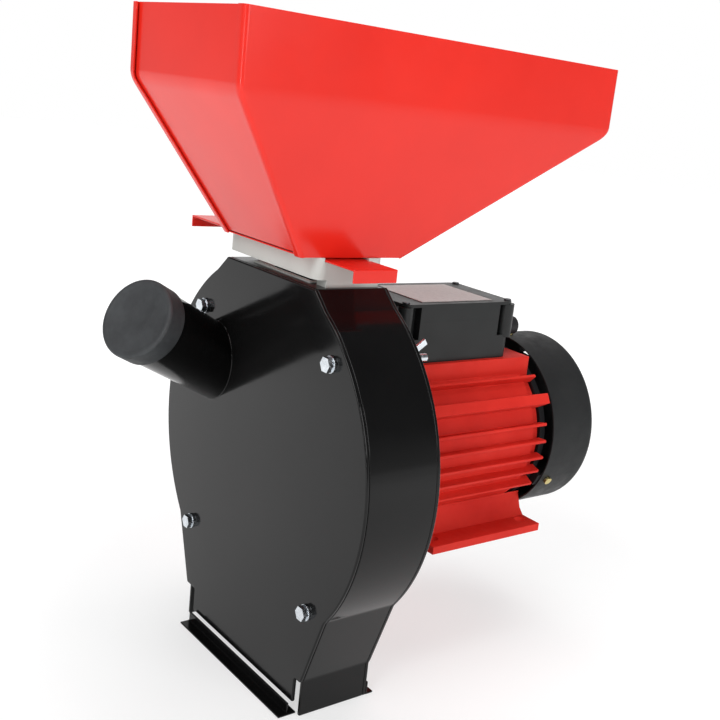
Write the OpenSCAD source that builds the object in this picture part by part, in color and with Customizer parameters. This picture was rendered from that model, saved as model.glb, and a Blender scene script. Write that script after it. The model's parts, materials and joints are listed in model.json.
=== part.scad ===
// Household hammer mill for grain and corn cobs, driven by a foot-mounted motor.
// Frame: +Z up, +Y from the front cover along the shaft to the fan, +X to the right.
// Origin: on the feet's underside, in the middle of the four foot holes.
// Inside the modules, positions are taken from the mill's own point: the shaft
// axis (x = 0, z = 0) at the front cover's outer face (y = 0).

/* [Mill drum] */
// Outer radius of the round drum
drum_r = 146; // [145:0.5:148]
// Front face of the cover to the rear face of the back plate
drum_depth = 64; // [63.5:0.5:66]
// Thickness of the cover, the wrapper and the back plate
drum_t = 3; // [3:0.1:3.2]
// Half width of the discharge spout
spout_half = 90; // [88:1:91]
// Shaft axis down to the spout's lower edge
spout_drop = 181; // [178:1:185]

/* [Hopper] */
// Half width of the hopper across the shaft
hopper_half = 78; // [76:1:80]
// Hopper's front edge, measured from the cover
hopper_front = -76; // [-80:1:-70]
// Hopper's rear edge, measured from the cover
hopper_rear = 254; // [245:1:260]
// Height of the rim above the shaft axis
rim_z = 314; // [305:1:320]
// Height of the fold between the upright band and the slopes
fold_z = 264; // [255:1:270]
// Sheet thickness
sheet_t = 1.5; // [1.2:0.1:1.8]

/* [Cob tube] */
// Outer radius of the cob tube
tube_r = 29; // [27:0.5:29.5]
// Length of the tube's axis from the cover to the cap's face
tube_len = 97; // [85:1:110]
// Upward tilt of the tube
tube_tilt = 27.4; // [24:0.2:30]
// Sideways turn of the tube
tube_swing = 20.8; // [17:0.2:23]

/* [Rotor] */
// Radius of the circle that the four hammer pins stand on
pin_circle = 64; // [62:0.5:65]
// Pivot to tip of a hammer
hammer_len = 50; // [46:1:51]
// Half width of a hammer
hammer_half = 12.5; // [11:0.5:12.5]
// Inner radius of the perforated sieve
sieve_r = 121; // [120:0.5:121.5]

/* [Motor] */
// Shaft axis above the feet's underside
shaft_h = 80; // [80:1:82]
// Radius of the finned frame between its fins
frame_r = 71; // [70:0.5:72]
// Radius over the fins
fin_r = 78.5; // [77:0.5:80]
// Half distance between the foot holes, across the shaft
foot_hole_x = 62.5; // [60:0.5:64]
// Distance between the foot holes, along the shaft
foot_hole_pitch = 100; // [96:1:102]
// Outer radius of the fan cowl
cowl_r = 78; // [77.5:0.5:79]

/* [Hidden] */
$fn = 96;

// Stations along the shaft, from the cover's face
foot_mid_y = 188;
wrap_y0 = drum_t;
wrap_y1 = drum_depth - drum_t;
flange_y1 = drum_depth + 10;
frame_y1 = 240;
foot_y0 = 127.5;
foot_y1 = 248.5;
cowl_y0 = 249;
cowl_y1 = 302;
cowl_t = 1.2;
cowl_screw_y = 258.5;
cowl_screw_angles = [-28, 92, 212];

// Drum outline
top_z = drum_r - 8.5;
top_half = 61;
arc_from = 58.85;
arc_to = -39.9;
arc_steps = 48;
chute_low = [92, -149];
cover_bolt_at = [[91, 92], [-91, 92], [90, -94.5], [-90, -94.5]];
bolt_r = 3;
bolt_end_y = 83.4;
washer_t = 1.6;
washer_r = 6.2;
nut_y = drum_depth + washer_t;
wing_turn = [0, -35, 65, 20];

// Stack between the drum's flat top and the hopper
collar_z = 142.8;
collar_x = [-48, 57];
collar_y = [20, 58];
collar_pad = [[45, 57], [13, 58]];
gate_z = 155.6;
gate_t = 1.5;
neck_z = 158.5;
neck_x = [-68, 57];
neck_y = [4, 62];
neck_r = 8;
neck_screw_at = [[-44, 24], [44, 24], [-44, 42], [44, 42]];
hopper_screw_at = [[-47, 7], [47, 7], [-47, 57], [47, 57]];
gate_y = [10.5, 47.5];
gate_x = [-144, 92];
gate_lip = 9.5;
feed_half = 37;
feed_y = [14, 44];
seat_y = [11, 47];
mouth_half = 54;
mouth_y = [-6, 75];
flange_w = 7;
seat_edge = 40;

// Cob tube
tube_at = [-73.4, 51.1];
tube_wall = 1.5;
cap_wall = 1.6;
cap_skirt = 17;
cap_face = 3;
run_gap = 0.05;

// Rotor
hub_r = 18;
shaft_r = 9.5;
hub_y = [14, 54];
disc_r = 82;
disc_t = 3;
front_disc_y = 15;
rear_disc_y = 48;
pin_r = 5;
pin_y = [12, 54];
pin_angles = [45, 135, 225, 315];
spacer_r = 8;
hammer_t = 4;
hammer_slots = [19.5, 26.5, 35.5, 42.5];
slot_play = 0.25;

// Motor
stator_r = 60;
air_gap = 0.4;
core_r = 36;
core_y = [108, 200];
foot_t = 6.6;
foot_half = 77;
foot_hole_r = 5;
seat_half = 44;
seat_z = 70.5;
fin_t = 2.6;
fin_angles = [46, 14, 3, -8, -18, -29];
pad_angle = 29.5;
pad_r = 85;
pad_t = 9;

// Terminal box
box_half = 39.6;
box_y = [101, 218];
box_wall = 3;
box_r = 8;
lid_plate_t = 2.5;
lid_lip = 0.6;
seam_z = 104;
lid_z = 118.7;
post_x = 34;
post_y = [105, 214];
post_r = 6.5;
recess_x = 31.5;
recess_z = 90;
recess_ys = [[box_y[0] + lid_lip, 116.5], [203, box_y[1] - lid_lip]];
gland_at = [17, 92];
gland_end = 241;

// ---------- helpers ----------
module mill() { translate([0, -foot_mid_y, shaft_h]) children(); }
// round bar along the shaft direction, from y0 to y1
module rod(y0, y1, r) { translate([0, y0, 0]) rotate([-90, 0, 0]) cylinder(h = y1 - y0, r = r); }
module ring(y0, y1, ro, ri) {
    difference() {
        rod(y0, y1, ro);
        rod(y0 - 1, y1 + 1, ri);
    }
}
// an (x, z) outline extruded from y0 to y1
module slab(y0, y1) { translate([0, y1, 0]) rotate([90, 0, 0]) linear_extrude(y1 - y0) children(); }
// a (y, z) outline extruded from x0 to x1
module beam(x0, x1) { translate([x0, 0, 0]) rotate([90, 0, 90]) linear_extrude(x1 - x0) children(); }
module box(x, y, z) { translate([x[0], y[0], z[0]]) cube([x[1] - x[0], y[1] - y[0], z[1] - z[0]]); }
module at_xz(p) { translate([p[0], 0, p[1]]) children(); }
module both_sides() {
    children();
    mirror([1, 0, 0]) children();
}
// a flat rectangle with round corners
module rounded(x, y, r) {
    translate([x[0] + r, y[0]]) square([x[1] - x[0] - 2 * r, y[1] - y[0]]);
    translate([x[0], y[0] + r]) square([x[1] - x[0], y[1] - y[0] - 2 * r]);
    for (cx = [x[0] + r, x[1] - r], cy = [y[0] + r, y[1] - r]) translate([cx, cy]) circle(r = r);
}
// turns an upright piece to stand outward at an angle in the (x, z) plane
module spoke(a) { rotate([0, -a, 0]) rotate([0, 90, 0]) children(); }

// ---------- mill drum ----------
// the round drum with its flat top and the straight-sided spout, as one closed line;
// d insets the outline and low is its lower end
function drum_side(d, low) = concat(
    [[top_half - d / 2, top_z - d]],
    [for (i = [0 : arc_steps]) (drum_r - d) * unit(arc_from + (arc_to - arc_from) * i / arc_steps)],
    [[chute_low[0] - d, chute_low[1]], [spout_half - d, chute_low[1] - 4], [spout_half - d, low]]);
function unit(a) = [cos(a), sin(a)];
function back_again(l) = [for (i = [len(l) - 1 : -1 : 0]) l[i]];
function mirrored(l) = [for (p = l) [-p[0], p[1]]];
module drum_outline(d = 0, low = -spout_drop)
    polygon(concat(drum_side(d, low), mirrored(back_again(drum_side(d, low)))));
module cob_axis() {
    translate([tube_at[0], 0, tube_at[1]]) rotate([90 - tube_tilt, 0, tube_swing]) children();
}

module drum_shell() color("#17181a") mill()
    difference() {
        slab(wrap_y0, wrap_y1) drum_outline();
        slab(wrap_y0 - 1, wrap_y1 + 1) drum_outline(drum_t, -spout_drop - 5);
        box([-seat_edge, seat_edge], seat_y, [top_z - 10, top_z + 10]);
        for (p = neck_screw_at) translate([p[0], p[1], top_z - 10]) cylinder(h = 20, r = 2);
    }

module at_drum_bolts() for (a = pin_angles) rotate([0, -a - 45, 0]) translate([50, 0, 0]) children();
module drum_back_plate() color("#17181a") mill()
    difference() {
        slab(wrap_y1, drum_depth) drum_outline();
        rod(wrap_y1 - 1, drum_depth + 1, 30);
        at_drum_bolts() rod(wrap_y1 - 1, drum_depth + 1, bolt_r);
        for (p = cover_bolt_at) at_xz(p) rod(wrap_y1 - 1, drum_depth + 1, bolt_r);
    }

module front_cover() color("#1b1c1e") mill()
    difference() {
        slab(0, wrap_y0) drum_outline(0, -172);
        box([-spout_half - 5, -77], [-1, drum_t + 1], [-190, -152]);
        box([83, spout_half + 5], [-1, drum_t + 1], [-190, -152]);
        cob_axis() translate([0, 0, -30]) cylinder(h = 60, r = tube_r - tube_wall);
        for (p = cover_bolt_at) at_xz(p) rod(-1, drum_t + 1, bolt_r);
    }

module cover_pillars() color("#2a2b2d") mill()
    for (p = cover_bolt_at) at_xz(p) ring(wrap_y0, wrap_y1, 5.5, bolt_r);

module cover_bolts() color("#c9cdd2") mill()
    for (p = cover_bolt_at) at_xz(p) {
        translate([0, -5.6, 0]) rotate([-90, 0, 0]) cylinder(h = 4, r = 5.77, $fn = 6);
        rod(-washer_t - 0.1, bolt_end_y - 1, bolt_r);
        translate([0, bolt_end_y - 1.01, 0]) rotate([-90, 0, 0])
            cylinder(h = 1.01, r1 = bolt_r, r2 = bolt_r - 0.8);
    }

module cover_washers() color("#d5d8dc") mill()
    for (p = cover_bolt_at) at_xz(p) {
        ring(-washer_t, 0, washer_r, bolt_r);
        ring(drum_depth, nut_y, washer_r, bolt_r);
    }

// a wing stands out from the nut and leans away from the drum
module wing() beam(-1.2, 1.2) translate([nut_y, 0])
    polygon([[0.9, 0], [0.9, 5.4], [7.4, 9.5], [13.9, 13.9], [16.4, 10.1], [9.9, 5.7], [7.4, 3.4], [7.4, 0]]);
module cover_wing_nuts() color("#d5d8dc") mill()
    for (i = [0 : 3]) at_xz(cover_bolt_at[i]) rotate([0, wing_turn[i], 0]) difference() {
        union() {
            translate([0, nut_y, 0]) rotate([-90, 0, 0]) cylinder(h = 8, r1 = 6.4, r2 = 5);
            for (a = [0, 180]) rotate([0, a, 0]) wing();
        }
        rod(nut_y - 1, nut_y + 9, bolt_r);
    }

module spout_flanges() color("#1d1e20") mill() {
    box([-75, 85], [-12, wrap_y0], [-spout_drop, -spout_drop + 1.5]);
    box([-75, 83], [-4, -2.5], [-spout_drop + 1.4, -172]);
    box([-spout_half, spout_half], [drum_depth, drum_depth + 7], [-spout_drop, -spout_drop + 1.5]);
    box([-spout_half, spout_half], [drum_depth, drum_depth + 1.5], [-spout_drop + 1.4, -170]);
}

// ---------- cob tube ----------
module cob_tube() color("#0f1011") mill()
    difference() {
        cob_axis() translate([0, 0, -40]) cylinder(h = 40 + tube_len - cap_face, r = tube_r);
        cob_axis() translate([0, 0, -41]) cylinder(h = 50 + tube_len, r = tube_r - tube_wall);
        box([-200, 100], [0, 120], [-100, 200]);
    }

module tube_cap() color("#2b2d2f") mill()
    cob_axis() translate([0, 0, tube_len]) rotate([180, 0, 0]) difference() {
        cylinder(h = cap_skirt, r = tube_r + cap_wall);
        translate([0, 0, cap_face]) cylinder(h = cap_skirt, r = tube_r + run_gap);
    }

// ---------- neck, feed gate and hopper ----------
module inlet_neck() color("#c9c9c6") mill()
    difference() {
        union() {
            translate([0, 0, collar_z]) linear_extrude(neck_z - collar_z)
                rounded(neck_x, neck_y, neck_r);
            box(collar_x, collar_y, [top_z, collar_z + 1]);
            box(collar_pad[0], collar_pad[1], [top_z, collar_z + 1]);
            box([-seat_edge, seat_edge], seat_y, [top_z - drum_t, top_z + 1]);
        }
        box([-feed_half, feed_half], feed_y, [top_z - 20, neck_z + 1]);
        box([-80, 80], [gate_y[0] - 0.3, gate_y[1] + 0.3], [gate_z - 0.3, neck_z + 1]);
        for (p = hopper_screw_at) translate([p[0], p[1], neck_z - 10]) cylinder(h = 11, r = 2);
        for (p = neck_screw_at) translate([p[0], p[1], top_z - 1]) cylinder(h = 11, r = 2);
    }

module neck_screws() color("#c9cdd2") mill()
    for (p = neck_screw_at) translate([p[0], p[1], top_z - drum_t]) {
        translate([0, 0, -2.5]) cylinder(h = 2.5, r = 3.6);
        translate([0, 0, -0.5]) cylinder(h = drum_t + 9.5, r = 2);
    }

module feed_gate() color("#b5161a") mill() {
    difference() {
        box(gate_x, gate_y, [gate_z, gate_z + gate_t]);
        box([-feed_half, feed_half], feed_y, [gate_z - 1, gate_z + gate_t + 1]);
    }
    for (x = [gate_x[0], gate_x[1] - gate_t])
        box([x, x + gate_t], gate_y, [gate_z - gate_lip + gate_t, gate_z + 0.1]);
}

// outer edge of the hopper: upright band, fold, slope to the mouth
function side_line(d) = [[hopper_half - d, rim_z], [hopper_half - d, fold_z], [mouth_half - d, neck_z]];
function front_line(d) = [[hopper_front + d, rim_z], [hopper_front + d, fold_z], [mouth_y[0] + d, neck_z]];
function rear_line(d) = [[hopper_rear - d, rim_z], [hopper_rear - d, fold_z], [mouth_y[1] - d, neck_z]];
function strip(a, b) = concat(a, back_again(b));
module side_strip(d0, d1) polygon(strip(side_line(d0), side_line(d1)));
rear_t = 2 * sheet_t;

module hopper_side() {
    // the sheet itself, wide enough to reach its folded edges
    intersection() {
        beam(0, 100) polygon(strip(front_line(-sheet_t), rear_line(-rear_t)));
        slab(-100, 300) side_strip(0, sheet_t);
    }
    // edges folded over the front and rear sheets
    intersection() {
        slab(-100, 20) side_strip(0, flange_w);
        beam(0, 100) polygon(strip(front_line(-sheet_t), front_line(0)));
    }
    intersection() {
        slab(50, 300) side_strip(0, flange_w);
        beam(0, 100) polygon(strip(rear_line(0), rear_line(-rear_t)));
    }
    // rim hem and mouth flange with its two screw holes
    box([hopper_half - 2 * sheet_t, hopper_half - sheet_t + 0.1], [hopper_front + 8, hopper_rear - 8],
        [rim_z - 8, rim_z]);
    difference() {
        box([seat_edge, mouth_half - 0.1], [mouth_y[0] + sheet_t + 0.2, mouth_y[1] - rear_t - 0.2],
            [neck_z, neck_z + sheet_t]);
        for (p = hopper_screw_at) translate([p[0], p[1], neck_z - 1]) cylinder(h = 5, r = 2);
    }
}
module hopper_right_panel() color("#e3261f") mill() hopper_side();
module hopper_left_panel() color("#e3261f") mill() mirror([1, 0, 0]) hopper_side();

module hopper_end_outline() both_sides() polygon(concat([[0, rim_z]], side_line(sheet_t), [[0, neck_z]]));
module hopper_front_panel() color("#f0463e") mill() {
    intersection() {
        slab(-100, 100) hopper_end_outline();
        beam(-100, 100) polygon(strip(front_line(0), front_line(sheet_t)));
    }
    box([-70, 70], [hopper_front + sheet_t - 0.1, hopper_front + 2 * sheet_t], [rim_z - 8, rim_z]);
    box([-seat_edge, seat_edge], [mouth_y[0] + 0.1, feed_y[0] - 1], [neck_z, neck_z + sheet_t]);
}
module hopper_rear_panel() color("#e3261f") mill() {
    intersection() {
        slab(0, 300) hopper_end_outline();
        beam(-100, 100) polygon(strip(rear_line(rear_t), rear_line(0)));
    }
    box([-70, 70], [hopper_rear - rear_t - sheet_t, hopper_rear - rear_t + 0.1], [rim_z - 8, rim_z]);
    box([-seat_edge, seat_edge], [feed_y[1] + 1, mouth_y[1] - 0.1], [neck_z, neck_z + sheet_t]);
}
module hopper_screws() color("#c9cdd2") mill()
    for (p = hopper_screw_at) translate([p[0], p[1], neck_z + sheet_t]) {
        cylinder(h = 2.5, r = 3.6);
        translate([0, 0, -sheet_t - 9]) cylinder(h = sheet_t + 9.5, r = 2);
    }

// ---------- sieve ----------
module sieve_sector() polygon([[0, 0], for (a = [125 : 5 : 415]) [200 * cos(a), 200 * sin(a)]]);
module sieve() color("#9a9c9e") mill()
    difference() {
        intersection() {
            ring(wrap_y0 + 0.2, wrap_y1 - 0.2, sieve_r + 1.5, sieve_r);
            slab(0, drum_depth) sieve_sector();
        }
        for (i = [0 : 19], j = [0 : 3])
            translate([0, 11 + 13 * j, 0]) spoke(188 + i * 8.7) translate([0, 0, sieve_r - 5])
                cylinder(h = 12, r = 2.5, $fn = 24);
    }
module sieve_holders() color("#2a2b2d") mill()
    intersection() {
        slab(wrap_y0, wrap_y1) drum_outline(drum_t, -spout_drop);
        both_sides() rotate([0, -54, 0]) box([sieve_r + 1.6, drum_r], [wrap_y0, wrap_y1], [0, 2.5]);
    }

// ---------- rotor ----------
module rotor_hub() color("#6f7275") mill()
    difference() {
        rod(hub_y[0], hub_y[1], hub_r);
        rod(0, 70, shaft_r);
        box([-3, 3], [0, 70], [0, shaft_r + 3]);
    }
module rotor_disc(y) difference() {
    rod(y, y + disc_t, disc_r);
    rod(y - 1, y + disc_t + 1, hub_r);
    for (a = pin_angles) rotate([0, -a, 0]) translate([pin_circle, 0, 0]) rod(y - 1, y + disc_t + 1, pin_r);
}
module rotor_front_disc() color("#808387") mill() rotor_disc(front_disc_y);
module rotor_rear_disc() color("#808387") mill() rotor_disc(rear_disc_y);
module at_pins() for (a = pin_angles) rotate([0, -a, 0]) translate([pin_circle, 0, 0]) children();
module hammer_pins() color("#a5a8ab") mill() at_pins() rod(pin_y[0], pin_y[1], pin_r);
module pin_clips() color("#3c3e40") mill() at_pins() {
    ring(front_disc_y - 1.2, front_disc_y - 0.1, 7.5, pin_r);
    ring(rear_disc_y + disc_t + 0.1, rear_disc_y + disc_t + 1.2, 7.5, pin_r);
}
// the stretches of each pin between the discs that carry no hammer
module pin_spacers(a, slots) rotate([0, -a, 0]) translate([pin_circle, 0, 0]) {
    ring(front_disc_y + disc_t, slots[0] - slot_play, spacer_r, pin_r);
    ring(slots[0] + hammer_t + slot_play, slots[1] - slot_play, spacer_r, pin_r);
    ring(slots[1] + hammer_t + slot_play, rear_disc_y, spacer_r, pin_r);
}
function slots_of(i) = i % 2 == 0 ? [hammer_slots[0], hammer_slots[2]] : [hammer_slots[1], hammer_slots[3]];
module hammer_spacers() color("#8d9093") mill() for (i = [0 : 3]) pin_spacers(pin_angles[i], slots_of(i));

// a free-swinging hammer, hanging straight down from its pin
module hammer(i, k) mill()
    translate([pin_circle * cos(pin_angles[i]), 0, pin_circle * sin(pin_angles[i])])
        slab(slots_of(i)[k], slots_of(i)[k] + hammer_t) difference() {
            union() {
                circle(r = hammer_half);
                translate([-hammer_half, -hammer_len]) square([2 * hammer_half, hammer_len]);
            }
            circle(r = pin_r + run_gap);
            for (s = [-1, 1]) translate([s * hammer_half, -hammer_len]) square(7, center = true);
        }
module hammer_1() color("#77797c") hammer(0, 0);
module hammer_2() color("#77797c") hammer(0, 1);
module hammer_3() color("#77797c") hammer(1, 0);
module hammer_4() color("#77797c") hammer(1, 1);
module hammer_5() color("#77797c") hammer(2, 0);
module hammer_6() color("#77797c") hammer(2, 1);
module hammer_7() color("#77797c") hammer(3, 0);
module hammer_8() color("#77797c") hammer(3, 1);

module shaft() color("#b4b7ba") mill()
    difference() {
        union() {
            rod(4.5, 14, 6);
            rod(14, 66, shaft_r);
            rod(66, 104, 10);
            rod(104, 206, 13);
            rod(206, 236, 11);
            rod(236, 262, 8.5);
            rod(262, 293, 7.5);
        }
        box([-3, 3], [20, 48], [5.5, 12]);
    }
module shaft_key() color("#8d9093") mill() box([-3, 3], [20, 48], [5.5, shaft_r + 3]);
module shaft_nut() color("#c9cdd2") mill() {
    ring(12, 14, 14, 6);
    difference() {
        translate([0, 5, 0]) rotate([-90, 0, 0]) cylinder(h = 6.8, r = 10.4, $fn = 6);
        rod(0, 20, 6);
    }
}

// ---------- motor ----------
module drum_bolts() color("#c9cdd2") mill()
    at_drum_bolts() {
        translate([0, wrap_y1 - 4, 0]) rotate([-90, 0, 0]) cylinder(h = 4, r = 5.77, $fn = 6);
        rod(wrap_y1 - 0.5, flange_y1 - 2, bolt_r);
    }
module shaft_seal() color("#2a2b2d") mill() ring(wrap_y1, 66, 16, shaft_r + run_gap);
module front_end_shield() color("#b5161a") mill()
    difference() {
        union() {
            rod(wrap_y1, drum_depth, 30);
            rod(drum_depth, flange_y1, frame_r);
            rod(flange_y1, flange_y1 + 6, stator_r);
            rod(flange_y1, 86, 32);
        }
        rod(0, 66, 16);
        rod(0, 90, 10.5);
        rod(70, 90, 23.5);
        at_drum_bolts() rod(60, flange_y1 - 2, bolt_r);
    }

// half of the frame's section: side fins, bolting pad and bottom fins
module frame_fins() {
    for (a = fin_angles) rotate(a) translate([frame_r - 2, -fin_t / 2]) square([fin_r - frame_r + 2, fin_t]);
    rotate(pad_angle) translate([frame_r - 4, -pad_t / 2]) square([pad_r - frame_r + 4, pad_t]);
    for (x = [12, 26]) translate([x - fin_t / 2, -fin_r + 4]) square([fin_t, 14]);
}
module foot_section() {
    polygon([[39, -40], [39.5, -shaft_h + 3], [38, -shaft_h], [foot_half, -shaft_h],
        [foot_half, -shaft_h + foot_t], [56, -shaft_h + foot_t], [51, -68], [46.5, -56], [47, -40]]);
}
module motor_frame() color("#c21a1c") mill()
    difference() {
        union() {
            slab(flange_y1, frame_y1 - 9) circle(r = frame_r);
            slab(flange_y1, frame_y1) {
                circle(r = frame_r - 4);
                both_sides2d() frame_fins();
                translate([-seat_half, 40]) square([2 * seat_half, seat_z - 40]);
            }
        }
        rod(flange_y1 - 1, frame_y1 + 1, stator_r);
        box([-seat_half, seat_half], [flange_y1 - 1, frame_y1 + 1], [seat_z, frame_r + 1]);
    }
module motor_feet() color("#c21a1c") mill()
    difference() {
        slab(foot_y0, foot_y1) both_sides2d() foot_section();
        rod(foot_y0 - 1, foot_y1 + 1, frame_r);
        for (x = [-foot_hole_x, foot_hole_x], y = [-foot_hole_pitch / 2, foot_hole_pitch / 2])
            translate([x, foot_mid_y + y, -shaft_h - 1]) cylinder(h = foot_t + 2, r = foot_hole_r);
    }
module both_sides2d() {
    children();
    mirror([1, 0]) children();
}

module rear_end_shield() color("#141516") mill()
    difference() {
        union() {
            rod(234, frame_y1, stator_r);
            rod(frame_y1, 246, frame_r - 1);
            rod(230, 251, 30);
            intersection() {
                rod(245, 268, cowl_r - cowl_t);
                for (a = cowl_screw_angles) rotate([0, -a, 0]) box([56, 90], [245, 268], [-6, 6]);
            }
        }
        rod(200, 248, 20);
        rod(200, 300, 9);
        ring(226, 239, stator_r - 4, 32);
        for (a = cowl_screw_angles) translate([0, cowl_screw_y, 0]) spoke(a)
            translate([0, 0, 64]) cylinder(h = 20, r = 2.5);
    }

module ball_race(y0, y1, ro, ri, groove_r, ball) difference() {
    ring(y0, y1, ro, ri);
    translate([0, (y0 + y1) / 2, 0]) rotate([-90, 0, 0]) rotate_extrude()
        translate([groove_r, 0]) circle(r = ball, $fn = 32);
}
module balls(y, r, ball, n) for (i = [0 : n - 1]) rotate([0, i * 360 / n, 0])
    translate([r, y, 0]) sphere(r = ball, $fn = 24);
module front_bearing_outer() color("#a5a8ab") mill() ball_race(70, 84, 23.5, 19.3, 16.7, 4.1);
module front_bearing_inner() color("#b4b7ba") mill() {
    ball_race(70, 84, 14.2, 10, 16.7, 4.1);
    balls(77, 16.7, 4, 8);
}
module rear_bearing_outer() color("#a5a8ab") mill() ball_race(236, 248, 20, 16.4, 14.2, 3.5);
module rear_bearing_inner() color("#b4b7ba") mill() {
    ball_race(236, 248, 12, 8.5, 14.2, 3.5);
    balls(242, 14.2, 3.4, 8);
}

module stator_core() color("#8d9093") mill() ring(core_y[0], core_y[1], stator_r, core_r + air_gap);
module winding(y0, y1) ring(y0, y1, 56, 39);
module stator_windings() color("#b06a35") mill() {
    winding(core_y[0] - 15, core_y[0]);
    winding(core_y[1], core_y[1] + 15);
}
module motor_rotor_core() color("#9a9c9e") mill() {
    ring(core_y[0], core_y[1], core_r, 13);
    ring(core_y[0] - 4, core_y[0], 34, 13);
    ring(core_y[1], core_y[1] + 6, 34, 13);
}

module cooling_fan() color("#2b2d2f") mill() {
    ring(271, 292, 14, 7.5);
    ring(271, 273.5, 62, 13.9);
    for (i = [0 : 6]) rotate([0, i * 360 / 7, 0]) box([13.5, 64], [273.4, 290], [-1, 1]);
}

// round cup with a rounded rear edge, open at the front
module cup(r, y1, edge) {
    rod(cowl_y0, y1 - edge, r);
    translate([0, y1 - edge, 0]) rotate([-90, 0, 0]) rotate_extrude() intersection() {
        union() {
            square([r - edge, edge]);
            translate([r - edge, 0]) circle(r = edge);
        }
        square([r, edge]);
    }
}
module fan_cowl() color("#202224") mill()
    difference() {
        cup(cowl_r, cowl_y1, 7);
        translate([0, -1, 0]) cup(cowl_r - cowl_t, cowl_y1 - cowl_t + 1, 6);
        for (r = [18 : 9 : 54], a = [0 : 60 : 300]) translate([0, cowl_y1 - 4, 0]) rotate([-90, 0, 0])
            rotate([0, 0, a + 6]) rotate_extrude(angle = 48) translate([r, 0]) square([4.5, 10]);
        for (a = cowl_screw_angles) translate([0, cowl_screw_y, 0]) spoke(a)
            translate([0, 0, 64]) cylinder(h = 20, r = 2.5);
    }
module cowl_screws() color("#c9b45a") mill()
    for (a = cowl_screw_angles) translate([0, cowl_screw_y, 0]) spoke(a) {
        translate([0, 0, 66]) cylinder(h = cowl_r - 66, r = 2.5);
        translate([0, 0, cowl_r]) cylinder(h = 2.6, r = 3.6);
    }

// ---------- terminal box ----------
// the walls stand in from the lid's top plate; posts for the lid screws stand at the corners
module box_outline(d = 0) rounded([-box_half + d, box_half - d], [box_y[0] + d, box_y[1] - d], box_r - d);
module at_posts() for (x = [-post_x, post_x], y = post_y) translate([x, y, 0]) children();
module recesses(z0, z1) for (s = [0, 1], y = recess_ys) mirror([s, 0, 0])
    box([recess_x, box_half + 1], [y[0] - 1, y[1] + 1], [z0, z1]);
module box_walls(z0, z1, r0) {
    difference() {
        translate([0, 0, z0]) linear_extrude(z1 - z0) box_outline(lid_lip);
        recesses(r0, z1 + 1);
    }
    at_posts() translate([0, 0, max(z0, r0 - 2)]) cylinder(h = z1 - max(z0, r0 - 2), r = post_r);
}
module box_room(z0, z1) {
    box([-recess_x + box_wall, recess_x - box_wall], [box_y[0] + box_wall, box_y[1] - box_wall], [z0, z1]);
    box([-box_half + box_wall, box_half - box_wall],
        [recess_ys[0][1] + 1 + box_wall, recess_ys[1][0] - 1 - box_wall], [z0, z1]);
}
module terminal_box() color("#242628") mill()
    difference() {
        box_walls(seat_z, seam_z, recess_z);
        box_room(seat_z + box_wall, seam_z + 1);
        translate([gland_at[0], box_y[1] - 8, gland_at[1]]) rotate([-90, 0, 0]) cylinder(h = 20, r = 6);
    }
module box_lid() color("#26282a") mill()
    difference() {
        union() {
            box_walls(seam_z, lid_z - lid_plate_t, seam_z);
            translate([0, 0, lid_z - lid_plate_t - 0.01]) linear_extrude(lid_plate_t + 0.01) box_outline();
        }
        box_room(seam_z - 1, lid_z - lid_plate_t);
        at_posts() translate([0, 0, seam_z - 1]) cylinder(h = 30, r = 2);
    }
module lid_screws() color("#303234") mill() at_posts() {
    translate([0, 0, lid_z]) cylinder(h = 1.2, r = 3);
    translate([0, 0, seam_z]) cylinder(h = lid_z - seam_z + 0.1, r = 2);
}
module name_plate() color("#a8aaac") mill() box([-30, 33], [122, 197], [lid_z, lid_z + 0.6]);
module capacitors() color("#d9d9d6") mill()
    for (x = [-18, 18]) translate([x, 0, seat_z + box_wall + 17]) rod(135, 196, 16);
module cable_gland() color("#1b1c1e") mill()
    translate([gland_at[0], 0, gland_at[1]]) difference() {
        union() {
            rod(box_y[1] - box_wall, box_y[1] + 1, 6);
            translate([0, box_y[1], 0]) rotate([-90, 0, 0]) cylinder(h = 5, r = 9.5, $fn = 6);
            rod(box_y[1] + 4.9, gland_end, 7.8);
        }
        rod(box_y[1] - 10, gland_end + 1, 3.5);
    }

drum_shell();
drum_back_plate();
front_cover();
cover_pillars();
cover_bolts();
cover_washers();
cover_wing_nuts();
spout_flanges();
cob_tube();
tube_cap();
inlet_neck();
neck_screws();
feed_gate();
hopper_right_panel();
hopper_left_panel();
hopper_front_panel();
hopper_rear_panel();
hopper_screws();
sieve();
sieve_holders();
rotor_hub();
rotor_front_disc();
rotor_rear_disc();
hammer_pins();
hammer_spacers();
pin_clips();
hammer_1();
hammer_2();
hammer_3();
hammer_4();
hammer_5();
hammer_6();
hammer_7();
hammer_8();
shaft();
shaft_key();
shaft_nut();
drum_bolts();
shaft_seal();
front_end_shield();
motor_frame();
motor_feet();
rear_end_shield();
front_bearing_outer();
front_bearing_inner();
rear_bearing_outer();
rear_bearing_inner();
stator_core();
stator_windings();
motor_rotor_core();
cooling_fan();
fan_cowl();
cowl_screws();
terminal_box();
box_lid();
lid_screws();
name_plate();
capacitors();
cable_gland();
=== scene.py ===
"""Looks for the hammer mill: painted sheet steel, castings, rubber, plastics and plated fasteners."""
import json
import math

import bmesh
import bpy
import numpy as np
from mathutils import Matrix, Vector, noise

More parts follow.
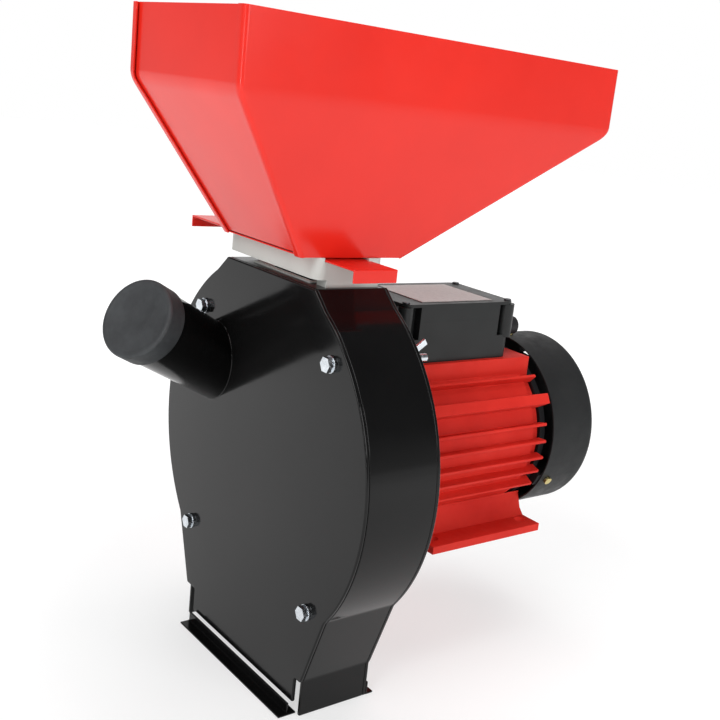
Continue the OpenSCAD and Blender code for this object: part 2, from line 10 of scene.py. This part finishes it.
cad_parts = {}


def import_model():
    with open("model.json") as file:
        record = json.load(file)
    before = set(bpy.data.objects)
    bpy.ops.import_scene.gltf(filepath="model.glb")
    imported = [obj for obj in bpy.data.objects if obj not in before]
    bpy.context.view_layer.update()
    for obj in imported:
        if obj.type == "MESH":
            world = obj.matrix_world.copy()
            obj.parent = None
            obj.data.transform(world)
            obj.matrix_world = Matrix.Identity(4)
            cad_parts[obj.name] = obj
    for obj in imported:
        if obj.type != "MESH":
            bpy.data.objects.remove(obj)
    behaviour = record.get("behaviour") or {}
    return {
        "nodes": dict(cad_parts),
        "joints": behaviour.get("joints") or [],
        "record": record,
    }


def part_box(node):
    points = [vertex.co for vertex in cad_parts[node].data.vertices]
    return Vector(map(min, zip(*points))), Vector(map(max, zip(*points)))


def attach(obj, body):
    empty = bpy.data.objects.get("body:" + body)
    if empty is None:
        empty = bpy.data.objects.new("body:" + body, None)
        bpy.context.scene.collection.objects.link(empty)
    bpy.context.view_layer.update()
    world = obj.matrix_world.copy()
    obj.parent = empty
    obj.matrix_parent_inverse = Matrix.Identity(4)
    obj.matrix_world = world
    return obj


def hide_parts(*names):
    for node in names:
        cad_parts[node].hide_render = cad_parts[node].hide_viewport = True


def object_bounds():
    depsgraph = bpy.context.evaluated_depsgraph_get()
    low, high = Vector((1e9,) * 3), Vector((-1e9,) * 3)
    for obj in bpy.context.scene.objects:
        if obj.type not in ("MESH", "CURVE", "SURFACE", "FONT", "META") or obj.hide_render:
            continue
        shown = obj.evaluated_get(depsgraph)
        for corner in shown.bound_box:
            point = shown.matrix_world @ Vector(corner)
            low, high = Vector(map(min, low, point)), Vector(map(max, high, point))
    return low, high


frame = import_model()
cad_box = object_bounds()
nodes = frame["nodes"]
MM = 0.001

# The mill's own point, where the shaft axis meets the cover's outer face.
cover_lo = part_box("front_cover")[0]
shaft_lo, shaft_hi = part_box("shaft")
MILL = Vector((0.0, cover_lo.y, (shaft_lo.z + shaft_hi.z) / 2))


def mill(x, y, z):
    """A place given in mm from the mill's own point, in the row frame."""
    return MILL + Vector((x, y, z)) * MM


# ---------------------------------------------------------------- materials
class Shader:
    """A Principled material with small helpers for its node tree."""

    def __init__(self, name):
        self.mat = bpy.data.materials.new(name)
        self.mat.use_nodes = True
        self.tree = self.mat.node_tree
        self.nodes = self.tree.nodes
        self.bsdf = self.nodes["Principled BSDF"]
        self.coords = self.nodes.new("ShaderNodeTexCoord").outputs["Object"]

    def link(self, a, b):
        self.tree.links.new(a, b)

    def noise(self, scale, detail=3.0, roughness=0.55, stretch=None):
        node = self.nodes.new("ShaderNodeTexNoise")
        node.inputs["Scale"].default_value = scale
        node.inputs["Detail"].default_value = detail
        node.inputs["Roughness"].default_value = roughness
        source = self.coords
        if stretch:
            mapping = self.nodes.new("ShaderNodeMapping")
            mapping.inputs["Scale"].default_value = stretch
            self.link(self.coords, mapping.inputs["Vector"])
            source = mapping.outputs["Vector"]
        self.link(source, node.inputs["Vector"])
        return node.outputs["Fac"]

    def cells(self, scale):
        node = self.nodes.new("ShaderNodeTexVoronoi")
        node.inputs["Scale"].default_value = scale
        self.link(self.coords, node.inputs["Vector"])
        return node.outputs["Distance"]

    def ramp(self, fac, stops):
        node = self.nodes.new("ShaderNodeValToRGB")
        ramp = node.color_ramp
        while len(ramp.elements) < len(stops):
            ramp.elements.new(0.5)
        for element, (place, colour) in zip(ramp.elements, stops):
            element.position = place
            if not isinstance(colour, (tuple, list)):
                colour = (colour, colour, colour)
            element.color = (*colour, 1.0)
        self.link(fac, node.inputs["Fac"])
        return node.outputs["Color"]

    def math(self, kind, a, b):
        node = self.nodes.new("ShaderNodeMath")
        node.operation = kind
        for socket, value in zip(node.inputs, (a, b)):
            if isinstance(value, (int, float)):
                socket.default_value = value
            else:
                self.link(value, socket)
        return node.outputs["Value"]

    def mix(self, fac, a, b):
        node = self.nodes.new("ShaderNodeMix")
        node.data_type = "RGBA"
        for name, value in (("Factor", fac), ("A", a), ("B", b)):
            socket = next(s for s in node.inputs if s.name == name and s.enabled)
            if isinstance(value, (int, float)):
                socket.default_value = value
            elif isinstance(value, (tuple, list)):
                socket.default_value = (*value, 1.0)
            else:
                self.link(value, socket)
        return next(s for s in node.outputs if s.enabled)

    def colour(self, value):
        if isinstance(value, (tuple, list)):
            self.bsdf.inputs["Base Color"].default_value = (*value, 1.0)
        else:
            self.link(value, self.bsdf.inputs["Base Color"])

    def rough(self, value):
        if isinstance(value, (int, float)):
            self.bsdf.inputs["Roughness"].default_value = value
        else:
            self.link(value, self.bsdf.inputs["Roughness"])

    def bump(self, *layers):
        """Each layer is (height, distance in metres, strength)."""
        last = None
        for height, distance, strength in layers:
            node = self.nodes.new("ShaderNodeBump")
            node.inputs["Distance"].default_value = distance
            node.inputs["Strength"].default_value = strength
            self.link(height, node.inputs["Height"])
            if last is not None:
                self.link(last, node.inputs["Normal"])
            last = node.outputs["Normal"]
        self.link(last, self.bsdf.inputs["Normal"])

    def set(self, **values):
        for name, value in values.items():
            self.bsdf.inputs[name.replace("_", " ")].default_value = value
        return self


def gloss_paint(name, base, deep, rough, peel, shine):
    """Sprayed gloss enamel on sheet steel: orange peel, uneven depth and uneven gloss."""
    s = Shader(name)
    tone = s.ramp(s.noise(9.0, 4.0), [(0.3, deep), (0.7, base)])
    s.colour(tone)
    s.rough(s.ramp(s.noise(42.0, 5.0, 0.65), [(0.3, rough), (0.75, rough + 0.07)]))
    s.bump((s.noise(520.0, 2.0), 0.00005, peel), (s.noise(14.0, 1.0), 0.0006, 0.2))
    return s.set(Specular_IOR_Level=shine).mat


def cast_paint(name, base, deep, shade, rough=0.52):
    """Dull paint over a sand-rough aluminium casting, with faint blotches of another shade."""
    s = Shader(name)
    tone = s.ramp(s.noise(14.0, 4.0), [(0.32, deep), (0.68, base)])
    blotch = s.ramp(s.noise(70.0, 4.0, 0.6), [(0.55, 0.0), (0.8, 1.0)])
    tone = s.mix(s.math("MULTIPLY", blotch, 0.22), tone, shade)
    s.colour(tone)
    s.rough(s.ramp(s.noise(90.0, 4.0), [(0.3, rough - 0.05), (0.7, rough + 0.14)]))
    s.bump((s.noise(900.0, 4.0, 0.65), 0.00012, 0.45), (s.noise(130.0, 3.0), 0.0003, 0.25))
    return s.set(Specular_IOR_Level=0.14).mat


def plated(name, base, dull, rough, along=(1, 0.08, 1), metal=1.0):
    """Bright plated steel with fine turning or drawing lines and dull spots."""
    s = Shader(name)
    s.colour(s.ramp(s.noise(260.0, 4.0, 0.6), [(0.35, base), (0.72, dull)]))
    s.rough(s.ramp(s.noise(400.0, 3.0), [(0.3, rough), (0.7, rough + 0.16)]))
    lines = s.noise(1500.0, 2.0, 0.5, stretch=along)
    s.bump((lines, 0.00002, 0.35), (s.noise(180.0, 2.0), 0.0001, 0.1))
    return s.set(Metallic=metal).mat


def plastic(name, base, deep, rough, grain=1800.0, depth=0.00005, strength=0.5):
    """Moulded plastic with a fine spark-eroded grain and slight sink and flow marks."""
    s = Shader(name)
    s.colour(s.ramp(s.noise(18.0, 3.0), [(0.3, deep), (0.7, base)]))
    s.rough(s.ramp(s.noise(55.0, 4.0), [(0.3, rough - 0.06), (0.7, rough + 0.08)]))
    s.bump((s.cells(grain), depth, strength), (s.noise(22.0, 2.0), 0.0004, 0.12))
    return s.set(Specular_IOR_Level=0.26).mat


def rubber(name, base, bloom):
    """Moulded rubber with a chalky bloom and fine pores."""
    s = Shader(name)
    mask = s.ramp(s.noise(38.0, 6.0, 0.7), [(0.35, 0.0), (0.8, 1.0)])
    s.colour(s.mix(s.math("MULTIPLY", mask, 0.55), base, bloom))
    s.rough(s.ramp(s.noise(120.0, 5.0), [(0.3, 0.5), (0.7, 0.72)]))
    s.bump((s.noise(1600.0, 3.0), 0.00006, 0.5), (s.noise(60.0, 3.0), 0.0003, 0.2))
    return s.set(Specular_IOR_Level=0.42).mat


def wound_copper(name):
    """Varnished winding wires running round the coil ends."""
    s = Shader(name)
    strands = (1, 0.1, 1)
    tone = s.noise(1400.0, 2.0, 0.5, stretch=strands)
    s.colour(s.ramp(tone, [(0.3, (0.42, 0.13, 0.05)), (0.7, (0.72, 0.3, 0.12))]))
    s.rough(0.3)
    s.bump((s.noise(1400.0, 1.0, 0.5, stretch=strands), 0.0004, 0.7))
    return s.set(Metallic=0.7, Coat_Weight=0.5).mat


RED = (0.74, 0.021, 0.011)
MATS = {
    "red_paint": gloss_paint("red_enamel", RED, (0.66, 0.017, 0.009), 0.2, 0.2, 0.36),
    "red_casting": cast_paint(
        "red_casting_paint", (0.7, 0.034, 0.022), (0.58, 0.02, 0.013), (0.46, 0.01, 0.007)),
    "black_paint": gloss_paint(
        "black_enamel", (0.006, 0.006, 0.006), (0.0035, 0.0035, 0.0036), 0.09, 0.12, 0.22),
    "tube_paint": gloss_paint(
        "tube_enamel", (0.0035, 0.0035, 0.0035), (0.002, 0.002, 0.002), 0.12, 0.1, 0.28),
    "black_casting": cast_paint(
        "black_casting_paint", (0.012, 0.012, 0.013), (0.006, 0.006, 0.007), (0.02, 0.018, 0.016), 0.45),
    "cowl_paint": cast_paint(
        "cowl_satin_black", (0.022, 0.023, 0.0235), (0.016, 0.017, 0.0175), (0.034, 0.033, 0.03), 0.42),
    "black_rubber": rubber("black_rubber", (0.022, 0.024, 0.026), (0.07, 0.078, 0.082)),
    "grey_plastic": plastic("grey_neck_plastic", (0.53, 0.53, 0.5), (0.47, 0.47, 0.445), 0.4, 1500.0),
    "box_plastic": plastic(
        "box_plastic", (0.017, 0.018, 0.018), (0.013, 0.0145, 0.0145), 0.34, 1300.0, 0.00008, 0.6),
    "fan_plastic": plastic("fan_plastic", (0.02, 0.02, 0.021), (0.014, 0.014, 0.015), 0.5),
    "white_plastic": plastic("capacitor_plastic", (0.7, 0.7, 0.66), (0.64, 0.64, 0.6), 0.3),
    "zinc": plated("zinc_plate", (0.74, 0.78, 0.82), (0.58, 0.62, 0.66), 0.17),
    "yellow_zinc": plated("yellow_zinc_plate", (0.62, 0.52, 0.2), (0.5, 0.42, 0.2), 0.24),
    "bare_steel": plated("machined_steel", (0.52, 0.52, 0.53), (0.36, 0.35, 0.34), 0.3),
    "hammer_steel": plated("hammer_steel", (0.36, 0.36, 0.37), (0.22, 0.2, 0.19), 0.38, (0.2, 1, 1)),
    "spring_steel": plated("blackened_steel", (0.12, 0.12, 0.13), (0.07, 0.07, 0.08), 0.35),
    "bearing_steel": plated("ground_steel", (0.66, 0.66, 0.68), (0.56, 0.56, 0.58), 0.12),
    "core_steel": plated("laminated_steel", (0.34, 0.34, 0.36), (0.22, 0.22, 0.24), 0.4, (0.05, 1, 0.05)),
    "plate_aluminium": plated(
        "plate_aluminium", (0.66, 0.65, 0.63), (0.58, 0.575, 0.555), 0.3, (0.05, 1, 1), 0.45),
    "copper": wound_copper("winding_copper"),
}
SLOTS = {p["node"]: p["material_slot"] for p in frame["record"]["subparts"]}


def give(obj, slot):
    obj.data.materials.clear()
    obj.data.materials.append(MATS[slot])


# ---------------------------------------------------------------- CAD nodes
# Points this near are one point, in metres; angles in degrees
WELD_WITHIN = 0.000002
FLAT_ANGLE = 0.6
HARD_EDGE_ANGLE = 28.0


def shade_smooth(mesh):
    mesh.polygons.foreach_set("use_smooth", [True] * len(mesh.polygons))


def soften(obj, width, clamp):
    """Rounds a CAD node's hard edges with modifiers; its own mesh is only shaded smooth."""
    shade_smooth(obj.data)
    weld = obj.modifiers.new("weld", "WELD")
    weld.merge_threshold = WELD_WITHIN
    flat = obj.modifiers.new("flat", "DECIMATE")
    flat.decimate_type = "DISSOLVE"
    flat.angle_limit = math.radians(FLAT_ANGLE)
    bevel = obj.modifiers.new("bevel", "BEVEL")
    bevel.width = width * MM
    bevel.segments = 2
    bevel.limit_method = "ANGLE"
    bevel.angle_limit = math.radians(HARD_EDGE_ANGLE)
    bevel.use_clamp_overlap = clamp
    bevel.harden_normals = False
    bevel.miter_outer = "MITER_ARC"
    normals = obj.modifiers.new("normals", "WEIGHTED_NORMAL")
    normals.keep_sharp = True
    normals.weight = 80


# Bevel widths in mm; every other node has the small one
SMALL_BEVEL = 0.25
BEVELS = {
    "drum_shell": 0.8, "drum_back_plate": 0.7, "front_cover": 1.1, "spout_flanges": 0.45,
    "cob_tube": 0.4, "inlet_neck": 0.6, "feed_gate": 0.65, "motor_frame": 0.55,
    "motor_feet": 0.8, "cover_wing_nuts": 0.4,
    "front_end_shield": 0.6, "rear_end_shield": 0.6, "fan_cowl": 0.3, "terminal_box": 0.8,
    "box_lid": 1.0, "cooling_fan": 0.3, "rotor_hub": 0.5, "shaft": 0.4, "shaft_nut": 0.5,
}
# Small holes must not hold back the rounding of these sheets' outer edges
PLAIN_SHEETS = {"front_cover", "drum_shell", "drum_back_plate"}
for name, node in nodes.items():
    give(node, SLOTS[name])
    soften(node, BEVELS.get(name, SMALL_BEVEL), clamp=name not in PLAIN_SHEETS)


# ---------------------------------------------------------------- new pieces
def new_piece(name, mesh, slot, body, *stands_for):
    obj = bpy.data.objects.new(name, mesh)
    bpy.context.scene.collection.objects.link(obj)
    obj.data.materials.append(MATS[slot])
    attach(obj, body)
    if stands_for:
        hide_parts(*stands_for)
    return obj


def finished(mesh, name):
    """Turns a bmesh into mesh data and frees it."""
    data = bpy.data.meshes.new(name)
    mesh.to_mesh(data)
    mesh.free()
    return data


def revolve(name, profile, axis_point, axis, slot, body, *stands_for, steps=96):
    """Turns (radius, height) points in mm about an axis, on which both ends of the profile lie."""
    axis = Vector(axis).normalized()
    side = axis.orthogonal().normalized()
    other = axis.cross(side)
    mesh = bmesh.new()
    rings = []
    for r, h in profile:
        centre = axis_point + axis * (h * MM)
        if r == 0.0:
            rings.append([mesh.verts.new(centre)])
            continue
        ring = []
        for i in range(steps):
            a = 2 * math.pi * i / steps
            ring.append(mesh.verts.new(centre + (side * math.cos(a) + other * math.sin(a)) * (r * MM)))
        rings.append(ring)
    for a, b in zip(rings, rings[1:]):
        for i in range(steps):
            j = (i + 1) % steps
            if len(a) == 1:
                mesh.faces.new((a[0], b[j], b[i]))
            elif len(b) == 1:
                mesh.faces.new((a[i], a[j], b[0]))
            else:
                mesh.faces.new((a[i], a[j], b[j], b[i]))
    bmesh.ops.recalc_face_normals(mesh, faces=mesh.faces)
    data = finished(mesh, name)
    shade_smooth(data)
    new_piece(name, data, slot, body, *stands_for)


def arc(cx, cy, r, a0, a1, steps):
    """Points of a round corner in a (radius, height) profile, between two angles in degrees."""
    return [(cx + r * math.cos(math.radians(a)), cy + r * math.sin(math.radians(a)))
            for a in np.linspace(a0, a1, steps + 1)]


def add_block(mesh, low, high):
    """Adds a plain block between two corners given in mm from the mill's own point."""
    a = mill(*low)
    b = mill(*high)
    place = Matrix.Translation((a + b) / 2) @ Matrix.Diagonal((*(b - a), 1.0))
    made = bmesh.ops.create_cube(mesh, size=1.0, matrix=place)
    bmesh.ops.recalc_face_normals(mesh, faces=list({f for v in made["verts"] for f in v.link_faces}))


# Cob tube, in mm, with its axis from the cap joint
cap_joint = next(j for j in frame["joints"] if j["name"] == "tube_cap_pull")
TUBE_AXIS = Vector(cap_joint["axis"]).normalized()
TUBE_FOOT = mill(-73.4, 0.0, 51.1)
TUBE_R = 29.0
TUBE_LEN = 97.0
CAP_R = 30.6
CAP_SKIRT = 17.0
CAP_ROUND = 2.2
CAP_LIP = 0.5
CAP_DISH = 0.5
CAP_INSIDE = 3.2
CAP_SLACK = 0.05
WELD_BEAD = 0.55
# Ripples in the bead, counted once round the tube
WELD_RIPPLES = 46


def tube_cap():
    """Pulled-on rubber cap: rounded rim, shallow dished face and a rolled skirt lip."""
    top = TUBE_FOOT + TUBE_AXIS * (TUBE_LEN * MM)
    inside = TUBE_R + CAP_SLACK
    profile = [(0.0, -CAP_DISH), (CAP_R - 6.0, -CAP_DISH), (CAP_R - 4.6, -CAP_DISH / 2), (CAP_R - 3.6, 0.0)]
    profile += arc(CAP_R - CAP_ROUND, -CAP_ROUND, CAP_ROUND, 90, 0, 6)
    profile += [(CAP_R, -CAP_SKIRT + 3.4)]
    profile += arc(CAP_R - CAP_LIP, -CAP_SKIRT + 0.9, CAP_LIP, 0, -90, 4)
    profile += [(inside, -CAP_SKIRT + 0.4), (inside, -CAP_INSIDE), (0.0, -CAP_INSIDE)]
    revolve("tube_cap_rubber", profile, top, TUBE_AXIS, "black_rubber", "tube_cap", "tube_cap")


def tube_weld():
    """Fillet weld where the slanted tube meets the cover."""
    side = TUBE_AXIS.orthogonal().normalized()
    other = TUBE_AXIS.cross(side)
    mesh = bmesh.new()
    rings = []
    steps, ring_steps = 180, 10
    for i in range(steps):
        a = 2 * math.pi * i / steps
        out = side * math.cos(a) + other * math.sin(a)
        p = TUBE_FOOT + out * (TUBE_R * MM)
        p = p + TUBE_AXIS * ((MILL.y - p.y) / TUBE_AXIS.y)
        flat_out = Vector((out.x, 0, out.z)).normalized()
        ripple = 1.0 + 0.13 * math.sin(a * WELD_RIPPLES) + 0.08 * noise.noise(p * 300)
        ring = []
        for k in range(ring_steps):
            b = 2 * math.pi * k / ring_steps
            offset = flat_out * math.cos(b) + Vector((0, -1, 0)) * math.sin(b)
            ring.append(mesh.verts.new(p + offset * (WELD_BEAD * ripple * MM)))
        rings.append(ring)
    for i in range(steps):
        a, b = rings[i], rings[(i + 1) % steps]
        for k in range(ring_steps):
            m = (k + 1) % ring_steps
            mesh.faces.new((a[k], a[m], b[m], b[k]))
    bmesh.ops.recalc_face_normals(mesh, faces=mesh.faces)
    data = finished(mesh, "tube_weld")
    shade_smooth(data)
    new_piece("tube_weld", data, "tube_paint", "mill_body")


# Hopper: bent sheet panels whose faces slope from the fold down to the mouth.
# Heights in mm, then each face's places at the rim and at the mouth.
RIM, FOLD, MOUTH = 314.0, 264.0, 158.5
HALF, FRONT, REAR = (78.0, 54.0), (-76.0, -6.0), (254.0, 75.0)
FOLD_SOFT = 5.0
# Sheet thickness, the sides' folded edges, the strips inside the rim and the mouth's foot
SHEET = 1.4
GAP = 0.3
CORNER = 2.4
FLANGE = 7.0
FLANGE_PINCH = 1.6
FRONT_OVERLAP = 1.4
REAR_OVERLAP = 2.6
QUARTER = np.linspace(0, math.pi / 2, 7)
STRIP = (RIM - 8.0, RIM - 0.1)
FOOT = (MOUTH, MOUTH + 1.5)
FOOT_HALF = 40.0
MOUTH_LIP = 0.9


def below_fold(z):
    """Drop below the fold, eased so that the fold is a soft bend."""
    if z >= FOLD + FOLD_SOFT:
        return 0.0
    if z <= FOLD - FOLD_SOFT:
        return FOLD - z
    return (FOLD + FOLD_SOFT - z) ** 2 / (4 * FOLD_SOFT)


def edge(ends, z):
    """Where a face stands at height z; ends are its places at the rim and the mouth."""
    return ends[0] + (ends[1] - ends[0]) * below_fold(z) / (FOLD - MOUTH)


def levels(low):
    """Heights of a sheet's rows from the rim down, close together round the fold."""
    bend = np.linspace(FOLD + FOLD_SOFT, FOLD - FOLD_SOFT, 9)
    slope = np.linspace(FOLD - FOLD_SOFT, low, 12)[1:]
    return [RIM] + [float(z) for z in (*bend, *slope)]


def sheet_mesh(name, rows, blocks):
    """A bent sheet from rows of points in mm, thickened inwards, with plain blocks added."""
    mesh = bmesh.new()
    grid = [[mesh.verts.new(mill(*p)) for p in row] for row in rows]
    for a, b in zip(grid, grid[1:]):
        for i in range(len(a) - 1):
            mesh.faces.new((a[i], a[i + 1], b[i + 1], b[i]))
    data = finished(mesh, name)
    sheet = bpy.data.objects.new(name + "_shape", data)
    bpy.context.scene.collection.objects.link(sheet)
    solid = sheet.modifiers.new("solid", "SOLIDIFY")
    solid.thickness = SHEET * MM
    solid.offset = -1.0
    solid.use_even_offset = True
    graph = bpy.context.evaluated_depsgraph_get()
    ready = bpy.data.meshes.new_from_object(sheet.evaluated_get(graph))
    bpy.data.objects.remove(sheet)
    bpy.data.meshes.remove(data)
    mesh = bmesh.new()
    mesh.from_mesh(ready)
    for low, high in blocks:
        add_block(mesh, low, high)
    mesh.to_mesh(ready)
    mesh.free()
    ready.name = name
    shade_smooth(ready)
    return ready


def round_edges(obj, width):
    """Bevels the sharp edges of a new piece; width in mm."""
    bevel = obj.modifiers.new("bevel", "BEVEL")
    bevel.width = width * MM
    bevel.segments = 2
    bevel.limit_method = "ANGLE"
    bevel.angle_limit = math.radians(50.0)
    normals = obj.modifiers.new("normals", "WEIGHTED_NORMAL")
    normals.keep_sharp = True


def hopper_side(sign, node):
    """Side sheet with its front and rear edges folded over the end sheets."""
    rows = []
    for z in levels(MOUTH + 0.2):
        x = edge(HALF, z)
        y0 = edge(FRONT, z) - FRONT_OVERLAP
        y1 = edge(REAR, z) + REAR_OVERLAP
        lip = FLANGE - FLANGE_PINCH * math.exp(-((z - FOLD) / FOLD_SOFT) ** 2)
        row = [(x - lip, y0), (x - lip * 0.6, y0)]
        bend = x - CORNER
        row += [(bend + CORNER * math.sin(t), y0 + CORNER - CORNER * math.cos(t)) for t in QUARTER]
        row += [(x, y0 + CORNER + (y1 - y0 - 2 * CORNER) * t) for t in np.linspace(0, 1, 14)[1:-1]]
        row += [(bend + CORNER * math.cos(t), y1 - CORNER + CORNER * math.sin(t)) for t in QUARTER]
        row += [(x - lip * 0.6, y1), (x - lip, y1)]
        rows.append([(sign * a, b, z) for a, b in (row if sign > 0 else reversed(row))])
    strip = sorted((sign * 75.2, sign * 76.7))
    foot = sorted((sign * FOOT_HALF, sign * 53.4))
    sheet = sheet_mesh(node + "_sheet", rows, [
        ((strip[0], -66.0, STRIP[0]), (strip[1], 244.0, STRIP[1])),
        ((foot[0], -4.0, FOOT[0]), (foot[1], 71.0, FOOT[1]))])
    round_edges(new_piece(node + "_sheet", sheet, "red_paint", "mill_body", node), 0.35)


def hopper_end(ends, setback, node, facing, low, blocks):
    """Front or rear sheet, tucked behind the folded edges of the sides."""
    rows = []
    for z in levels(low):
        half = edge(HALF, z) - SHEET - GAP
        y = edge(ends, z) - facing * setback
        row = [(half * t, y, z) for t in np.linspace(-1, 1, 17)]
        rows.append(row if facing < 0 else list(reversed(row)))
    sheet = sheet_mesh(node + "_sheet", rows, blocks)
    round_edges(new_piece(node + "_sheet", sheet, "red_paint", "mill_body", node), 0.3)


def hopper():
    hopper_side(1, "hopper_right_panel")
    hopper_side(-1, "hopper_left_panel")
    hopper_end(FRONT, 1.0, "hopper_front_panel", -1, MOUTH + 2.8, [
        ((-69.0, -73.6, STRIP[0]), (69.0, -72.1, STRIP[1])),
        ((-53.5, -7.0, MOUTH), (53.5, -4.4, MOUTH + MOUTH_LIP)),
        ((-FOOT_HALF, -4.0, FOOT[0]), (FOOT_HALF, 12.8, FOOT[1]))])
    hopper_end(REAR, 0.6, "hopper_rear_panel", 1, MOUTH + 0.4, [
        ((-69.0, 250.6, STRIP[0]), (69.0, 252.1, STRIP[1])),
        ((-FOOT_HALF, 45.2, FOOT[0]), (FOOT_HALF, 74.0, FOOT[1]))])


def mouth_shadow_strip():
    """Black rubber strip in the gap between the front sheet's lower edge and its lip; it stands in for the
    gap's shadow: painted shade.
    """
    mesh = bmesh.new()
    add_block(mesh, (-52.5, -5.2, MOUTH + MOUTH_LIP), (52.5, -4.1, MOUTH + 4.5))
    data = finished(mesh, "mouth_shadow_strip")
    round_edges(new_piece("mouth_shadow_strip", data, "black_rubber", "mill_body"), 0.2)


def spot_weld():
    """The one spot weld that shows on the right sheet, near its front edge and under the fold."""
    bulge = [(0.0, 0.3), (0.9, 0.28), (1.7, 0.12), (2.2, -0.2), (0.0, -0.2)]
    place = mill(77.0, -62.0, 256.0)
    revolve("spot_weld", bulge, place, (1.0, 0.0, 0.0), "red_paint", "mill_body", steps=32)


tube_cap()
tube_weld()
hopper()
# The dark strip in the hopper mouth's gap is painted shade.
mouth_shadow_strip()
spot_weld()

# ---------------------------------------------------------------- stage, light, camera
# The floor is just under the spout; sizes in metres
FLOOR_Z = cad_box[0].z - 0.0005
FLOOR_SIZE = 14.0
# The world's backdrop stands this way from the mill
BEHIND = (-0.75, 0.66, -0.05)
# Lamps: name, place, height aimed at, width and height, watts
LAMPS = (
    ("key", (0.55, -1.7, 1.25), 0.15, (1.1, 1.1), 20),
    ("side", (1.85, 0.2, 0.9), 0.15, (0.9, 0.9), 15),
    ("edge", (0.95, -1.5, 0.3), 0.15, (0.05, 0.8), 3.0),
    ("top", (-0.1, 0.1, 1.9), 0.1, (1.4, 1.4), 26),
)
# Camera fitted to the photo: its place in mm, then turn, tilt down and roll in degrees
CAMERA_PLACE = (653.1, -398.0, 270.9)
CAMERA_ANGLES = (48.57, 14.2, 7.2)
CAMERA_LENS = 52.13
CAMERA_SHIFT = (-0.111, 0.0139)


def stage():
    """A pale floor that glows, so that it fades into the white round it; its glow is weaker under the mill,
    as painted shade.
    """
    bpy.ops.mesh.primitive_plane_add(size=FLOOR_SIZE, location=(0, 0, FLOOR_Z))
    floor = bpy.context.object
    floor.name = "floor"
    s = Shader("pale_floor")
    s.colour((0.4, 0.4, 0.4))
    s.rough(0.7)
    length = s.nodes.new("ShaderNodeVectorMath")
    length.operation = "LENGTH"
    s.link(s.coords, length.inputs[0])
    # The glow is weaker near the middle, under the mill: painted shade.
    glow_with_painted_shade = s.ramp(length.outputs["Value"], [(0.3, 0.6), (0.9, 0.9)])
    s.bsdf.inputs["Emission Color"].default_value = (1, 1, 1, 1)
    s.link(glow_with_painted_shade, s.bsdf.inputs["Emission Strength"])
    floor.data.materials.append(s.mat)


def sky_ramp(tree, fac, low, high):
    """A ramp between two stops, each a place and a colour."""
    node = tree.nodes.new("ShaderNodeValToRGB")
    for element, (place, colour) in zip(node.color_ramp.elements, (low, high)):
        element.position = place
        element.color = (*colour, 1)
    tree.links.new(fac, node.inputs["Fac"])
    return node.outputs["Color"]


def world():
    """A dim room with a lit paper backdrop behind the mill; the camera sees plain white."""
    sky = bpy.data.worlds.new("studio")
    bpy.context.scene.world = sky
    sky.use_nodes = True
    tree = sky.node_tree
    room = tree.nodes["Background"]
    coords = tree.nodes.new("ShaderNodeTexCoord")
    parts = tree.nodes.new("ShaderNodeSeparateXYZ")
    tree.links.new(coords.outputs["Generated"], parts.inputs["Vector"])
    dim = (0.1, 0.1, 0.104)
    low_light = sky_ramp(tree, parts.outputs["Z"], (0.0, (0.5, 0.5, 0.5)), (0.3, dim))
    behind = tree.nodes.new("ShaderNodeVectorMath")
    behind.operation = "DOT_PRODUCT"
    behind.inputs[1].default_value = BEHIND
    tree.links.new(coords.outputs["Generated"], behind.inputs[0])
    sheet = sky_ramp(tree, behind.outputs["Value"], (0.6, (0, 0, 0)), (0.85, (1, 1, 1)))
    walls = tree.nodes.new("ShaderNodeMix")
    walls.data_type = "RGBA"
    tree.links.new(sheet, walls.inputs["Factor"])
    tree.links.new(low_light, walls.inputs["A"])
    walls.inputs["B"].default_value = (0.85, 0.85, 0.85, 1)
    tree.links.new(walls.outputs["Result"], room.inputs["Color"])
    room.inputs["Strength"].default_value = 1.0
    paper = tree.nodes.new("ShaderNodeBackground")
    paper.inputs["Color"].default_value = (1, 1, 1, 1)
    path = tree.nodes.new("ShaderNodeLightPath")
    mix = tree.nodes.new("ShaderNodeMixShader")
    tree.links.new(path.outputs["Is Camera Ray"], mix.inputs[0])
    tree.links.new(room.outputs["Background"], mix.inputs[1])
    tree.links.new(paper.outputs["Background"], mix.inputs[2])
    tree.links.new(mix.outputs["Shader"], tree.nodes["World Output"].inputs["Surface"])


def area_light(name, place, target, size, power):
    data = bpy.data.lights.new(name, "AREA")
    data.shape = "RECTANGLE"
    data.size, data.size_y = size
    data.energy = power
    lamp = bpy.data.objects.new(name, data)
    bpy.context.scene.collection.objects.link(lamp)
    lamp.location = place
    lamp.visible_camera = False
    lamp.rotation_mode = "QUATERNION"
    lamp.rotation_quaternion = (Vector(target) - Vector(place)).to_track_quat("-Z", "Y")


def camera():
    """The photo's camera; roll turns it about its own line of sight."""
    data = bpy.data.cameras.new("camera")
    cam = bpy.data.objects.new("camera", data)
    bpy.context.scene.collection.objects.link(cam)
    data.lens = CAMERA_LENS
    data.sensor_width = 36.0
    data.shift_x, data.shift_y = CAMERA_SHIFT
    az, el, roll = (math.radians(a) for a in CAMERA_ANGLES)
    ahead = Vector((-math.sin(az) * math.cos(el), math.cos(az) * math.cos(el), -math.sin(el)))
    right = Vector((math.cos(az), math.sin(az), 0))
    up = right.cross(ahead)
    tilted_right = right * math.cos(roll) + up * math.sin(roll)
    tilted_up = up * math.cos(roll) - right * math.sin(roll)
    turned = Matrix((tilted_right, tilted_up, -ahead)).transposed().to_4x4()
    cam.matrix_world = Matrix.Translation(mill(*CAMERA_PLACE)) @ turned
    bpy.context.scene.camera = cam


stage()
world()
for name, place, height, size, power in LAMPS:
    area_light(name, place, (0, 0, height), size, power)
camera()
bpy.context.scene.view_settings.view_transform = "Standard"
